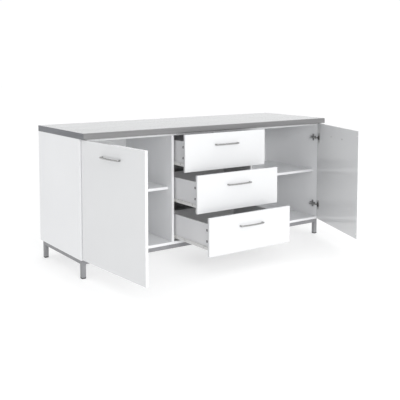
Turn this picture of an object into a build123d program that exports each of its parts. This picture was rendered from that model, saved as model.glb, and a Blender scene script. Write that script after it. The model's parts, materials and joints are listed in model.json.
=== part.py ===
from build123d import *
import math
import os

# Sideboard buffet, in millimetres. X runs along the front from left to right, Y runs from
# front to back and Z is up. The sizes below are given from the floor and from the front
# plane of the carcass; ORIGIN_Y then moves everything so that the origin lies on the floor
# under the middle of the sideboard as it stands, with its doors and drawers open.

# ---- overall ----
WIDTH = 1800.0
HEIGHT = 806.0
DEPTH = 560.0
BOARD = 16.0
UNDERSIDE = 105.0

# ---- worktop ----
WORKTOP_T = 34.0
WORKTOP_OVERHANG = 52.0
WORKTOP_NOSE = 9.0
EDGING_T = 1.5

# ---- carcass ----
CARCASS_TOP = HEIGHT - WORKTOP_T
BACK_T = 8.0
BACK_INSET = 8.0
BACK_GROOVE = 6.0
SHELF_SETBACK = 40.0
SHELF_GAP = 0.5
PIN_D = 5.0
PIN_REACH = 8.0
PIN_DEPTH = 9.0
PIN_INSET = 60.0

# ---- fronts ----
REVEAL = 1.5
FRONT_SPACE = 3.0
FRONT_GAP = 2.0
FRONT_T = 16.0
FRONT_W = (WIDTH - 2 * REVEAL - 2 * FRONT_SPACE) / 3
FRONT_LOW = UNDERSIDE + FRONT_SPACE
FRONT_HIGH = CARCASS_TOP - FRONT_SPACE
DRAWER_FRONT_H = (FRONT_HIGH - FRONT_LOW - 2 * FRONT_SPACE) / 3
EDGE_ROUND = 0.8

# ---- base frame of square tube ----
TUBE = 25.0
TUBE_WALL = 2.0
TUBE_ROUND = 2.5
LEG_INSET_SIDE = 7.5
LEG_INSET_FRONT = 2.5
LEG_INSET_BACK = 22.0
PLUG_FLANGE = 7.0
PLUG_SPIGOT = 20.0

# ---- bow handles ----
HANDLE_L = 172.0
HANDLE_HOLES = 160.0
HANDLE_RISE = 26.0
HANDLE_FOOT = 10.0
HANDLE_THICK = 6.5
HANDLE_ARCH = 6.0
HANDLE_H = 8.5
HANDLE_BEND = 9.0
HANDLE_INNER_BEND = 4.0
HANDLE_ROUND = 2.2
DRAWER_HANDLE_Z = 149.0
DOOR_HANDLE_Z = 590.0

# ---- concealed door hinges ----
# A hinge is laid out in two lengths: "in" from the outer face of the end panel towards the
# middle, and "out" forwards from the front plane of the carcass.
ARM_PIVOT_IN = 36.5
ARM_PIVOT_OUT = 0.5
CUP_PIVOT_EDGE = 11.5
CUP_PIVOT_FACE = 10.7
LINK_TURN = 33.0 / 90.0
LINK_ELBOW_R = 14.0
LINK_ELBOW_ANGLE = 30.0
LINK_T = 1.6
LINK_H = 9.0
HINGE_PIN_D = 3.0
HINGE_EYE_D = 5.2
HINGE_CLEARANCE = 0.35
HINGE_HEIGHTS = (FRONT_LOW + 100.0, FRONT_HIGH - 100.0)
CUP_D = 35.0
CUP_DEPTH = 12.3
CUP_WALL = 1.0
CUP_EDGE = 22.5
CUP_FLANGE = (16.0, 64.0, 1.0)
CUP_FLANGE_FORWARD = 3.0
CUP_FLANGE_ROUND = 6.0
CUP_RIM = 1.5
PLATE_SIZE = (2.0, 52.0, 17.0)
PLATE_WING = (1.6, 14.0, 46.0)
PLATE_BACK = 37.0
PLATE_ROUND = 3.0
PLATE_RAIL_H = 8.0
ARM_LENGTH = 62.0
ARM_STEP = 30.0
ARM_DROP = 8.0
CHEEK_T = 1.2
CHEEK_L = 13.0
PIN_END = 1.5
ARM_W = 12.4
ARM_TOP = 2.0
ARM_RISE = 3.0

# ---- roller runners and drawer boxes ----
RUNNER_SPACE = 12.5
RUNNER_L = 500.0
RUNNER_T = 1.2
RUNNER_H = 19.0
RUNNER_FOOT = 11.0
TRACK_W = 8.0
TRACK_DROP = 3.0
KEEPER_Z = 21.0
KEEPER_START = 40.0
ROLLER_D = 16.4
ROLLER_W = 5.0
ROLLER_BORE = 4.6
AXLE_D = 4.0
ROLLER_OFF = 3.0
FRONT_ROLLER_Y = 16.0
FRONT_ROLLER_Z = 9.2
REAR_ROLLER_Y = 488.0
REAR_ROLLER_Z = 7.0
CABINET_RUNNER_Y = 4.0
BOX_LIFT = 30.0
BOX_H = 145.0
BOX_SIDE_T = 12.0
BOX_TAIL = 2.0
BOX_EDGE_ROUND = 2.0
BOX_BACK_DROP = 12.0
BOX_BOTTOM_T = 5.0
BOX_BOTTOM_LIFT = 9.0
BOX_GROOVE = 6.0
BOX_FRONT_GROOVE = 8.0

# ---- how far everything stands open ----
DOOR_ANGLE = {"left": 86.0, "right": 69.0}
DRAWER_PULL = {"top": 110.0, "middle": 231.0, "bottom": 346.0}

DRAWERS = ("bottom", "middle", "top")
SIDE_SIGN = {"left": -1, "right": 1}

DIVIDER_X = FRONT_W / 2 + FRONT_SPACE / 2
HALF = WIDTH / 2
INNER_LOW = UNDERSIDE + BOARD
INNER_HIGH = CARCASS_TOP - BOARD
BACK_FACE = DEPTH - BACK_INSET - BACK_T
BAY_HALF = DIVIDER_X - BOARD / 2
BOX_HALF = BAY_HALF - RUNNER_SPACE
BOX_REAR = RUNNER_L - FRONT_GAP - BOX_TAIL


def block(x0, x1, y0, y1, z0, z1):
    """A plain block between two corners."""
    size = Box(x1 - x0, y1 - y0, z1 - z0)
    return size.move(Location(((x0 + x1) / 2, (y0 + y1) / 2, (z0 + z1) / 2)))


def board(x0, x1, y0, y1, z0, z1, rounding=EDGE_ROUND):
    """A panel whose edges are all eased a little, as edged board is."""
    panel = block(x0, x1, y0, y1, z0, z1)
    return fillet(panel.edges(), rounding)


def rod(start, direction, length, diameter):
    """A round bar that leaves start along direction."""
    plane = Plane(origin=start, z_dir=direction)
    return extrude(plane * Circle(diameter / 2), length)


def mirrored(shape, sign):
    """The shape as drawn for the right side, or its mirror image for the left."""
    return shape if sign > 0 else mirror(shape, Plane.YZ)


# ---- worktop ----
def worktop_outline():
    """The slab's section seen from the left: a flat top that rolls over its front edge."""
    front = -WORKTOP_OVERHANG
    low, high = CARCASS_TOP, HEIGHT
    nose = WORKTOP_NOSE
    with BuildSketch(Plane.YZ) as section:
        with BuildLine():
            Line((DEPTH, low), (DEPTH, high))
            Line((DEPTH, high), (front + nose, high))
            RadiusArc((front + nose, high), (front, high - nose), -nose)
            Line((front, high - nose), (front, low + nose / 2))
            RadiusArc((front, low + nose / 2), (front + nose / 2, low), -nose / 2)
            Line((front + nose / 2, low), (DEPTH, low))
        make_face()
    return section.sketch


def worktop():
    """The laminated slab, short of the ends by its edging strips."""
    length = WIDTH - 2 * EDGING_T
    return extrude(worktop_outline().moved(Location((-length / 2, 0, 0))), length, dir=(1, 0, 0))


def worktop_edging():
    """One edging strip on each end of the slab."""
    left = extrude(worktop_outline().moved(Location((-HALF, 0, 0))), EDGING_T, dir=(1, 0, 0))
    return Compound([left, mirror(left, Plane.YZ)])


# ---- carcass ----
def back_cutter():
    """The room that the back panel takes up, grooves included."""
    reach = HALF - BOARD + BACK_GROOVE
    low, high = INNER_LOW - BACK_GROOVE, INNER_HIGH + BACK_GROOVE
    return block(-reach, reach, BACK_FACE, BACK_FACE + BACK_T, low, high)


def end_panel(sign):
    """An end panel, grooved for the back and drilled for its shelf pins."""
    x0, x1 = HALF - BOARD, HALF
    panel = board(x0, x1, 0, DEPTH, UNDERSIDE, CARCASS_TOP) - back_cutter()
    for y, z in pin_places():
        panel -= rod((x0, y, z), (1, 0, 0), PIN_DEPTH, PIN_D)
    return mirrored(panel, sign)


def divider(sign):
    """An upright between a cupboard and the drawer bay."""
    x0, x1 = DIVIDER_X - BOARD / 2, DIVIDER_X + BOARD / 2
    panel = board(x0, x1, 0, BACK_FACE, INNER_LOW, INNER_HIGH)
    for y, z in pin_places():
        panel -= rod((x1, y, z), (-1, 0, 0), PIN_DEPTH, PIN_D)
    return mirrored(panel, sign)


def level_panel(low):
    """The top or bottom board between the end panels, grooved for the back."""
    reach = HALF - BOARD
    return board(-reach, reach, 0, DEPTH, low, low + BOARD) - back_cutter()


def shelf_level():
    """The height of a shelf's underside, which puts the shelf half way up its cupboard."""
    return (INNER_LOW + INNER_HIGH - BOARD) / 2


def shelf(sign):
    """A loose shelf on four pins."""
    x0 = DIVIDER_X + BOARD / 2 + SHELF_GAP
    x1 = HALF - BOARD - SHELF_GAP
    low = shelf_level()
    panel = board(x0, x1, SHELF_SETBACK, BACK_FACE - SHELF_GAP, low, low + BOARD)
    return mirrored(panel, sign)


def pin_places():
    """Where a shelf's pins stand along an upright."""
    z = shelf_level() - PIN_D / 2
    return [(SHELF_SETBACK + PIN_INSET, z), (BACK_FACE - PIN_INSET, z)]


def shelf_pins():
    """Eight steel pins, half in their holes and half under the shelves."""
    pins = []
    for y, z in pin_places():
        for x, way in ((DIVIDER_X + BOARD / 2, 1), (HALF - BOARD, -1)):
            start = (x - way * PIN_DEPTH, y, z)
            pin = rod(start, (way, 0, 0), PIN_DEPTH + PIN_REACH, PIN_D)
            pins += [pin, mirror(pin, Plane.YZ)]
    return Compound(pins)


# ---- base frame ----
def tube(x0, x1, y0, y1, z0, z1, along):
    """A square tube between two corners that is open at both ends along one axis."""
    outside = block(x0, x1, y0, y1, z0, z1)
    outside = fillet(outside.edges().filter_by(along), TUBE_ROUND)
    wall = [TUBE_WALL] * 3
    wall["XYZ".index(along_name(along))] = -1.0
    inside = block(x0 + wall[0], x1 - wall[0], y0 + wall[1], y1 - wall[1], z0 + wall[2], z1 - wall[2])
    return outside - inside


def along_name(axis):
    """The letter of one of the three main axes."""
    return {Axis.X: "X", Axis.Y: "Y", Axis.Z: "Z"}[axis]


def leg_corner(side, end):
    """The low corner of a leg in X and Y."""
    x = HALF - LEG_INSET_SIDE - TUBE if side == "right" else -HALF + LEG_INSET_SIDE
    y = LEG_INSET_FRONT if end == "front" else DEPTH - LEG_INSET_BACK - TUBE
    return x, y


def leg(side, end):
    """An upright tube from its foot plug to the carcass."""
    x, y = leg_corner(side, end)
    return tube(x, x + TUBE, y, y + TUBE, PLUG_FLANGE, UNDERSIDE, Axis.Z)


def long_rail(end):
    """A tube between the two front legs or the two rear legs, under the carcass."""
    x0, y = leg_corner("left", end)
    x1, _ = leg_corner("right", end)
    return tube(x0 + TUBE, x1, y, y + TUBE, UNDERSIDE - TUBE, UNDERSIDE, Axis.X)


def side_rail(side):
    """A tube between the front leg and the rear leg of one side."""
    x, y0 = leg_corner(side, "front")
    _, y1 = leg_corner(side, "rear")
    return tube(x, x + TUBE, y0 + TUBE, y1, UNDERSIDE - TUBE, UNDERSIDE, Axis.Y)


def foot_plugs():
    """A plastic plug in the lower end of each leg, with a rounded foot."""
    plugs = []
    for side in SIDE_SIGN:
        for end in ("front", "rear"):
            x, y = leg_corner(side, end)
            foot = block(x, x + TUBE, y, y + TUBE, 0, PLUG_FLANGE)
            foot = fillet(foot.edges().filter_by(Axis.Z), TUBE_ROUND)
            foot = fillet(foot.faces().sort_by(Axis.Z)[0].edges(), TUBE_ROUND)
            inner = TUBE_WALL
            top = PLUG_FLANGE + PLUG_SPIGOT
            spigot = block(x + inner, x + TUBE - inner, y + inner, y + TUBE - inner, PLUG_FLANGE, top)
            plugs.append(foot + spigot)
    return Compound(plugs)


# ---- handles ----
def handle_outline(half, rise, face):
    """One edge of a bow handle, from foot to foot, about its middle: up, over and down."""
    shoulder = face - rise + HANDLE_ARCH
    Line((-half, face), (-half, shoulder))
    ThreePointArc((-half, shoulder), (0, face - rise), (half, shoulder))
    Line((half, shoulder), (half, face))


def bow_handle(x, y, z):
    """A bow handle that stands on a front whose face is at y, with its middle at x and z."""
    half = HANDLE_L / 2
    inner = half - HANDLE_FOOT
    with BuildSketch(Plane.XY.offset(-HANDLE_H / 2)) as section:
        with BuildLine():
            handle_outline(half, HANDLE_RISE, 0)
            Line((half, 0), (inner, 0))
            handle_outline(inner, HANDLE_RISE - HANDLE_THICK, 0)
            Line((-inner, 0), (-half, 0))
        make_face()
        bends = section.vertices().sort_by(Axis.Y)[:4].sort_by(Axis.X)
        fillet([bends[0], bends[-1]], HANDLE_BEND)
        bends = section.vertices().filter_by(lambda v: abs(abs(v.X) - inner) < 0.01 and v.Y < -1)
        fillet(bends, HANDLE_INNER_BEND)
    bow = extrude(section.sketch, HANDLE_H)
    rims = bow.faces().filter_by(Axis.Z).edges().filter_by(lambda e: e.center().Y < -0.01)
    bow = fillet(rims, HANDLE_ROUND)
    return bow.moved(Location((x, y, z)))


# ---- hinges ----
def hinge_point(sign, inwards, outwards):
    """A point of a hinge in X and Y, from its lengths in and out."""
    return (sign * (HALF - inwards), -outwards)


def arm_pivot(sign):
    """The axis that a link turns on at its arm."""
    return hinge_point(sign, ARM_PIVOT_IN, ARM_PIVOT_OUT)


def cup_pivot_closed():
    """The axis that a closed door turns on, as lengths in and out."""
    return (REVEAL + CUP_PIVOT_EDGE, FRONT_GAP + FRONT_T - CUP_PIVOT_FACE)


def cup_pivot(sign, angle):
    """The axis that a door turns on when it stands open at an angle."""
    closed_in, closed_out = cup_pivot_closed()
    reach_in, reach_out = closed_in - ARM_PIVOT_IN, closed_out - ARM_PIVOT_OUT
    turn = math.radians(-LINK_TURN * angle)
    turned_in = reach_in * math.cos(turn) - reach_out * math.sin(turn)
    turned_out = reach_in * math.sin(turn) + reach_out * math.cos(turn)
    return hinge_point(sign, ARM_PIVOT_IN + turned_in, ARM_PIVOT_OUT + turned_out)


def opening_axis(sign, point):
    """The upright axis at a point, pointing so that a positive turn opens a door."""
    return Axis((point[0], point[1], 0), (0, 0, sign))


def opened(shape, side):
    """A piece of a door, drawn closed, moved to where the door stands."""
    sign, angle = SIDE_SIGN[side], DOOR_ANGLE[side]
    start = hinge_point(sign, *cup_pivot_closed())
    end = cup_pivot(sign, angle)
    turned = shape.rotate(opening_axis(sign, start), angle)
    return turned.moved(Location((end[0] - start[0], end[1] - start[1], 0)))


def link_turned(shape, side):
    """A hinge link, drawn for a closed door, moved to where it stands."""
    sign = SIDE_SIGN[side]
    return shape.rotate(opening_axis(sign, arm_pivot(sign)), -LINK_TURN * DOOR_ANGLE[side])


def bar_between(a, b, thickness, z0, z1):
    """An upright strip between two points seen from above."""
    length = math.dist(a, b)
    heading = math.degrees(math.atan2(b[1] - a[1], b[0] - a[0]))
    strip = block(0, length, -thickness / 2, thickness / 2, z0, z1)
    return strip.rotate(Axis.Z, heading).moved(Location((a[0], a[1], 0)))


def eye(point, z0, z1, diameter=HINGE_EYE_D):
    """A round barrel about an upright axis."""
    return rod((point[0], point[1], z0), (0, 0, 1), z1 - z0, diameter)


def hinge_link(sign, z):
    """The cranked link of one hinge, with an eye at each end, for a closed door."""
    start = arm_pivot(sign)
    end = hinge_point(sign, *cup_pivot_closed())
    heading = math.atan2(end[1] - start[1], end[0] - start[0])
    elbow_heading = heading - sign * math.radians(LINK_ELBOW_ANGLE)
    elbow_x = start[0] + LINK_ELBOW_R * math.cos(elbow_heading)
    elbow_y = start[1] + LINK_ELBOW_R * math.sin(elbow_heading)
    elbow = (elbow_x, elbow_y)
    low, high = z - LINK_H / 2, z + LINK_H / 2
    link = bar_between(start, elbow, LINK_T, low, high) + eye(elbow, low, high, LINK_T)
    link += bar_between(elbow, end, LINK_T, low, high)
    link += eye(start, low, high) + eye(end, low, high)
    link -= eye(start, low, high, HINGE_PIN_D + 2 * HINGE_CLEARANCE)
    link -= eye(end, low, high, HINGE_PIN_D)
    pin_low, pin_high = low - PIN_END, high + PIN_END
    return link + eye(end, pin_low, pin_high, HINGE_PIN_D)


def hinge_links(side):
    """Both links of a door."""
    links = [hinge_link(SIDE_SIGN[side], z) for z in HINGE_HEIGHTS]
    return Compound([link_turned(link, side) for link in links])


def hinge_plate(z):
    """A winged mounting plate on the inner face of the right end panel."""
    face = HALF - BOARD
    thick, length, height = PLATE_SIZE
    y0, y1 = PLATE_BACK - length / 2, PLATE_BACK + length / 2
    plate = block(face - thick, face, y0, y1, z - height / 2, z + height / 2)
    plate = fillet(plate.edges().filter_by(Axis.X), PLATE_ROUND)
    wing_t, wing_l, wing_h = PLATE_WING
    wing_y0, wing_y1 = PLATE_BACK - wing_l / 2, PLATE_BACK + wing_l / 2
    wings = block(face - wing_t, face, wing_y0, wing_y1, z - wing_h / 2, z + wing_h / 2)
    wings = fillet(wings.edges().filter_by(Axis.X), PLATE_ROUND)
    rail_y0, rail_y1 = y0 + PLATE_ROUND, y1 - PLATE_ROUND
    rail_low, rail_high = z - PLATE_RAIL_H / 2, z + PLATE_RAIL_H / 2
    rail = block(face - ARM_RISE - thick, face - thick, rail_y0, rail_y1, rail_low, rail_high)
    return plate + wings + rail


def hinge_plates():
    """The four mounting plates."""
    plates = [hinge_plate(z) for z in HINGE_HEIGHTS]
    return Compound(plates + [mirror(plate, Plane.YZ) for plate in plates])


def hinge_arm(z):
    """The arm of one hinge, a channel on its plate whose nose carries the link's pin."""
    face = HALF - BOARD
    pivot_x, pivot_y = arm_pivot(1)
    foot = face - PLATE_SIZE[0] - ARM_RISE
    half_eye = HINGE_EYE_D / 2
    crown = pivot_x - half_eye
    front, back = pivot_y + HINGE_EYE_D, pivot_y + ARM_LENGTH
    low, high = z - ARM_W / 2, z + ARM_W / 2
    heel, nose = (foot, back), (crown, front)
    knee, step = (crown + ARM_DROP, back), (crown, back - ARM_STEP)
    chin = (foot, front + foot - crown)
    with BuildSketch(Plane.XY.offset(low)) as profile:
        with BuildLine():
            Polyline(heel, knee, step, nose, chin, close=True)
        make_face()
    channel = extrude(profile.sketch, ARM_W)
    channel -= block(crown + ARM_TOP, face, pivot_y, back + 1, low + ARM_TOP, high - ARM_TOP)
    for cheek_low in (low, high - CHEEK_T):
        cheek_high = cheek_low + CHEEK_T
        cheek = block(crown, pivot_x + half_eye, pivot_y, pivot_y + CHEEK_L, cheek_low, cheek_high)
        channel += cheek + eye((pivot_x, pivot_y), cheek_low, cheek_high)
    return channel + eye((pivot_x, pivot_y), low, high, HINGE_PIN_D)


def hinge_arms():
    """The four hinge arms."""
    arms = [hinge_arm(z) for z in HINGE_HEIGHTS]
    return Compound(arms + [mirror(arm, Plane.YZ) for arm in arms])


def cup_centre(z):
    """The middle of a cup's mouth on the right door's inner face, with the door closed."""
    return (HALF - REVEAL - CUP_EDGE, -FRONT_GAP, z)


def cup_room(z):
    """The hole that a cup fills in the right door."""
    return rod(cup_centre(z), (0, -1, 0), CUP_DEPTH, CUP_D)


def hinge_cup(z):
    """A pressed cup with its screw flange on the inner face of the right door."""
    x, y, _ = cup_centre(z)
    width, height, thick = CUP_FLANGE
    x0, x1 = x - CUP_FLANGE_FORWARD - width / 2, x - CUP_FLANGE_FORWARD + width / 2
    flange = block(x0, x1, y, y + thick, z - height / 2, z + height / 2)
    flange = fillet(flange.edges().filter_by(Axis.Y), CUP_FLANGE_ROUND)
    mouth = rod((x, y + thick, z), (0, -1, 0), CUP_DEPTH + thick - CUP_WALL, CUP_D - 2 * CUP_WALL)
    cup = cup_room(z) + rod((x, y, z), (0, 1, 0), thick, CUP_D + 2 * CUP_RIM) + flange
    return cup - mouth


def hinge_cups(side):
    """The two cups of a door."""
    sign = SIDE_SIGN[side]
    return Compound([opened(mirrored(hinge_cup(z), sign), side) for z in HINGE_HEIGHTS])


# ---- doors ----
def door_panel(side):
    """A door, bored for its two hinge cups."""
    x1 = HALF - REVEAL
    panel = board(x1 - FRONT_W, x1, -FRONT_GAP - FRONT_T, -FRONT_GAP, FRONT_LOW, FRONT_HIGH)
    for z in HINGE_HEIGHTS:
        panel -= cup_room(z)
    return opened(mirrored(panel, SIDE_SIGN[side]), side)


def door_handle(side):
    """The handle across the upper part of a door."""
    x = HALF - REVEAL - FRONT_W / 2
    bow = bow_handle(x, -FRONT_GAP - FRONT_T, FRONT_LOW + DOOR_HANDLE_Z)
    return opened(mirrored(bow, SIDE_SIGN[side]), side)


# ---- drawers, drawn shut ----
def front_low(name):
    """The lower edge of a drawer's front."""
    return FRONT_LOW + DRAWERS.index(name) * (DRAWER_FRONT_H + FRONT_SPACE)


def box_low(name):
    """The lower edge of a drawer's box."""
    return front_low(name) + BOX_LIFT


def box_bottom(name):
    """The loose bottom, which slides into grooves of the sides and the front."""
    z = box_low(name) + BOX_BOTTOM_LIFT
    reach = BOX_HALF - BOX_SIDE_T + BOX_GROOVE
    return block(-reach, reach, -FRONT_GAP - BOX_FRONT_GROOVE, BOX_REAR, z, z + BOX_BOTTOM_T)


def drawer_front(name):
    """A drawer's front."""
    low = front_low(name)
    half = FRONT_W / 2
    panel = board(-half, half, -FRONT_GAP - FRONT_T, -FRONT_GAP, low, low + DRAWER_FRONT_H)
    return panel - box_bottom(name)


def drawer_side(name, sign):
    """A side of a drawer's box, grooved for the bottom."""
    low = box_low(name)
    side = block(BOX_HALF - BOX_SIDE_T, BOX_HALF, -FRONT_GAP, RUNNER_L - FRONT_GAP, low, low + BOX_H)
    top_edges = side.faces().sort_by(Axis.Z)[-1].edges().filter_by(Axis.Y)
    side = fillet(top_edges, BOX_EDGE_ROUND) - box_bottom(name)
    return mirrored(side, sign)


def drawer_back(name):
    """The back of a drawer's box, which stands on the bottom."""
    low = box_low(name) + BOX_BOTTOM_LIFT + BOX_BOTTOM_T
    high = box_low(name) + BOX_H - BOX_BACK_DROP
    reach = BOX_HALF - BOX_SIDE_T
    return block(-reach, reach, BOX_REAR - BOX_SIDE_T, BOX_REAR, low, high)


def drawer_handle(name):
    """A drawer's handle."""
    return bow_handle(0, -FRONT_GAP - FRONT_T, front_low(name) + DRAWER_HANDLE_Z)


def drawer_runner(name):
    """The right runner of a drawer: a web, a foot under the side and a track on top."""
    low = box_low(name)
    x = BOX_HALF
    y0, y1 = CABINET_RUNNER_Y, BOX_REAR
    web = block(x, x + RUNNER_T, y0, y1, low - RUNNER_T, low + RUNNER_H)
    foot = block(x - RUNNER_FOOT, x, y0, y1, low - RUNNER_T, low)
    track = block(x, x + TRACK_W, y0, y1, low + RUNNER_H - RUNNER_T, low + RUNNER_H)
    axle = rod((x, REAR_ROLLER_Y, low + REAR_ROLLER_Z), (1, 0, 0), ROLLER_OFF + ROLLER_W, AXLE_D)
    return web + foot + track + axle


def drawer_runners(name):
    """The two runners on a drawer's box."""
    runner = drawer_runner(name)
    return Compound([runner, mirror(runner, Plane.YZ)])


def cabinet_runner(name):
    """The right runner in the drawer bay: a web on the upright between two flanges."""
    low = box_low(name)
    x = BAY_HALF
    y0, y1 = CABINET_RUNNER_Y, CABINET_RUNNER_Y + RUNNER_L
    web = block(x - RUNNER_T, x, y0, y1, low - TRACK_DROP, low + KEEPER_Z + RUNNER_T)
    track = block(x - TRACK_W, x, y0, y1, low - TRACK_DROP, low - TRACK_DROP + RUNNER_T)
    keeper = block(x - TRACK_W, x, y0 + KEEPER_START, y1, low + KEEPER_Z, low + KEEPER_Z + RUNNER_T)
    reach = RUNNER_SPACE - ROLLER_OFF
    axle = rod((x, FRONT_ROLLER_Y, low + FRONT_ROLLER_Z), (-1, 0, 0), reach, AXLE_D)
    return web + track + keeper + axle


def cabinet_runners():
    """The six runners in the drawer bay."""
    runners = [cabinet_runner(name) for name in DRAWERS]
    return Compound(runners + [mirror(runner, Plane.YZ) for runner in runners])


def roller_pair(y, z):
    """A pair of nylon rollers on one cross axis, one at each side of the drawer bay."""
    start = (BOX_HALF + ROLLER_OFF, y, z)
    roller = rod(start, (1, 0, 0), ROLLER_W, ROLLER_D) - rod(start, (1, 0, 0), ROLLER_W, ROLLER_BORE)
    return Compound([roller, mirror(roller, Plane.YZ)])


def pulled(shape, name):
    """A piece of a drawer, drawn shut, moved out as far as the drawer stands open."""
    return shape.moved(Location((0, -DRAWER_PULL[name], 0)))


# ---- everything, by node ----
def carcass_nodes():
    """The pieces that stand still."""
    nodes = {
        "worktop": worktop(),
        "worktop_edging": worktop_edging(),
        "top_panel": level_panel(INNER_HIGH),
        "bottom_panel": level_panel(UNDERSIDE),
        "back_panel": back_cutter(),
        "shelf_pins": shelf_pins(),
        "rail_front": long_rail("front"),
        "rail_rear": long_rail("rear"),
        "foot_plugs": foot_plugs(),
        "hinge_plates": hinge_plates(),
        "hinge_arms": hinge_arms(),
        "cabinet_runners": cabinet_runners(),
    }
    for side, sign in SIDE_SIGN.items():
        nodes[f"end_panel_{side}"] = end_panel(sign)
        nodes[f"divider_{side}"] = divider(sign)
        nodes[f"shelf_{side}"] = shelf(sign)
        nodes[f"rail_{side}"] = side_rail(side)
        for end in ("front", "rear"):
            nodes[f"leg_{end}_{side}"] = leg(side, end)
    return nodes


def door_nodes():
    """The two doors with their hinge links."""
    nodes = {}
    for side in SIDE_SIGN:
        nodes[f"door_{side}_panel"] = door_panel(side)
        nodes[f"door_{side}_handle"] = door_handle(side)
        nodes[f"door_{side}_hinge_cups"] = hinge_cups(side)
        nodes[f"hinge_links_{side}"] = hinge_links(side)
    return nodes


def drawer_nodes():
    """The three drawers with their rollers."""
    nodes = {}
    for name in DRAWERS:
        low = box_low(name)
        pieces = {
            "front": drawer_front(name),
            "side_left": drawer_side(name, -1),
            "side_right": drawer_side(name, 1),
            "back": drawer_back(name),
            "bottom": box_bottom(name),
            "handle": drawer_handle(name),
            "runners": drawer_runners(name),
            "rollers": roller_pair(REAR_ROLLER_Y, low + REAR_ROLLER_Z),
        }
        for piece, shape in pieces.items():
            nodes[f"drawer_{name}_{piece}"] = pulled(shape, name)
        nodes[f"cabinet_rollers_{name}"] = roller_pair(FRONT_ROLLER_Y, low + FRONT_ROLLER_Z)
    return nodes


def main():
    """Builds every node and writes it to its own file."""
    os.makedirs("parts", exist_ok=True)
    nodes = {**carcass_nodes(), **door_nodes(), **drawer_nodes()}
    front_reach = min(shape.bounding_box().min.Y for shape in nodes.values())
    origin_y = -round((front_reach + DEPTH) / 2, 1)
    for name, shape in nodes.items():
        export_step(shape.moved(Location((0, origin_y, 0))), f"parts/{name}.step")
    print(len(nodes), "nodes, moved back by", origin_y)


main()
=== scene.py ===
"""Looks of a sideboard buffet that stands with two doors and three drawers open.

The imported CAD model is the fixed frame. This script dresses its boards, tubes and fittings in
procedural finishes, adds the fasteners, caps, weld beads and buffers that hold it together, and
sets up a plain studio with one camera. Lengths are in metres, in the CAD model's own frame.
"""

from __future__ import annotations

import json
import logging
import math
from dataclasses import dataclass, field, replace
from enum import Enum
from typing import Any, Sequence

import bmesh
import bpy
from mathutils import Matrix, Vector

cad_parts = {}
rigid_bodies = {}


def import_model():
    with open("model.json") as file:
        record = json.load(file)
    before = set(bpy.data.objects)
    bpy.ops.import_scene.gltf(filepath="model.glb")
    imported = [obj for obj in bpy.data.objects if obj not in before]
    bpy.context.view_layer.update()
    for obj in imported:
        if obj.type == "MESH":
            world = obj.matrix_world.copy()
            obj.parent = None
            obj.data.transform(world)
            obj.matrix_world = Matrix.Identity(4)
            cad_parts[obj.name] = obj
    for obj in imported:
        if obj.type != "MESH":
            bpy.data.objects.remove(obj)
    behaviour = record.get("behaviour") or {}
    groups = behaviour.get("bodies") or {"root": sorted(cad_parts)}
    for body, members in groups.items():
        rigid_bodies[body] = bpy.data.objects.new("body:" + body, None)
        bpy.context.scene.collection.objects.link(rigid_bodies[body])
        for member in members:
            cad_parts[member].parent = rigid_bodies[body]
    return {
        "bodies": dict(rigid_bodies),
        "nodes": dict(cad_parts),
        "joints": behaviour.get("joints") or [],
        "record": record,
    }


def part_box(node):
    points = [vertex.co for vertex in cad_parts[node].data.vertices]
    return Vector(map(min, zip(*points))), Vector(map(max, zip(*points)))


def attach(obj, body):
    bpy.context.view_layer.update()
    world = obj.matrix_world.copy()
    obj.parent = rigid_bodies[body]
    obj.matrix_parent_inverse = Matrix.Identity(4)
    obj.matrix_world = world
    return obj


LOG = logging.getLogger("sideboard")
Triple = tuple[float, float, float]
Span = tuple[float, float]
Ring = list[bmesh.types.BMVert]
Node, Socket = bpy.types.Node, bpy.types.NodeSocket
Mesh, Object, Material = bpy.types.Mesh, bpy.types.Object, bpy.types.Material
DOWN: Triple = (0.0, 0.0, -1.0)
REAR: Triple = (0.0, 1.0, 0.0)
FIXED = "carcass"


class Side(Enum):
    """Which end of the sideboard a piece belongs to, with the sign of its X."""

    LEFT = -1
    RIGHT = 1

    @property
    def word(self) -> str:
        """The side as node names spell it."""
        return self.name.lower()

    @property
    def outwards(self) -> Triple:
        """The way from the middle towards this end."""
        return (float(self.value), 0.0, 0.0)

    @property
    def inwards(self) -> Triple:
        """The way from this end towards the middle."""
        return (-float(self.value), 0.0, 0.0)


class Tier(Enum):
    """The three drawers, from the lowest."""

    BOTTOM = "bottom"
    MIDDLE = "middle"
    TOP = "top"


class Slot(Enum):
    """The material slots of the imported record."""

    WORKTOP = "worktop_laminate"
    EDGING = "worktop_edging"
    FRAME = "frame_paint"
    FOOT = "foot_plastic"
    HANDLE = "handle_metal"
    HINGE = "hinge_steel"
    ROLLER = "roller_nylon"
    RUNNER = "runner_paint"
    BASE = "drawer_base_board"
    BACK = "back_board"
    BOX = "drawer_box_board"
    FRONT = "front_board"
    CARCASS = "carcass_board"


# ---- node trees ----
class NodePad:
    """A node tree that is built in code."""

    def __init__(self, tree: bpy.types.NodeTree) -> None:
        """Starts with an empty tree."""
        self.tree = tree
        tree.nodes.clear()

    def node(self, kind: str, values: dict[str | int, Any] | None = None, **settings: Any) -> Node:
        """Adds a node.

        Args:
            kind: The node's type name.
            values: What goes into its inputs, by name or number: a constant, or a socket to link.
            **settings: The node's own properties.

        Returns:
            The new node.
        """
        node = self.tree.nodes.new(kind)
        for key, value in settings.items():
            setattr(node, key, value)
        for key, value in (values or {}).items():
            if isinstance(value, Socket):
                self.join(value, node.inputs[key])
            else:
                node.inputs[key].default_value = value
        return node

    def join(self, source: Socket, target: Socket) -> None:
        """Links one socket to another."""
        self.tree.links.new(source, target)


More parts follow.
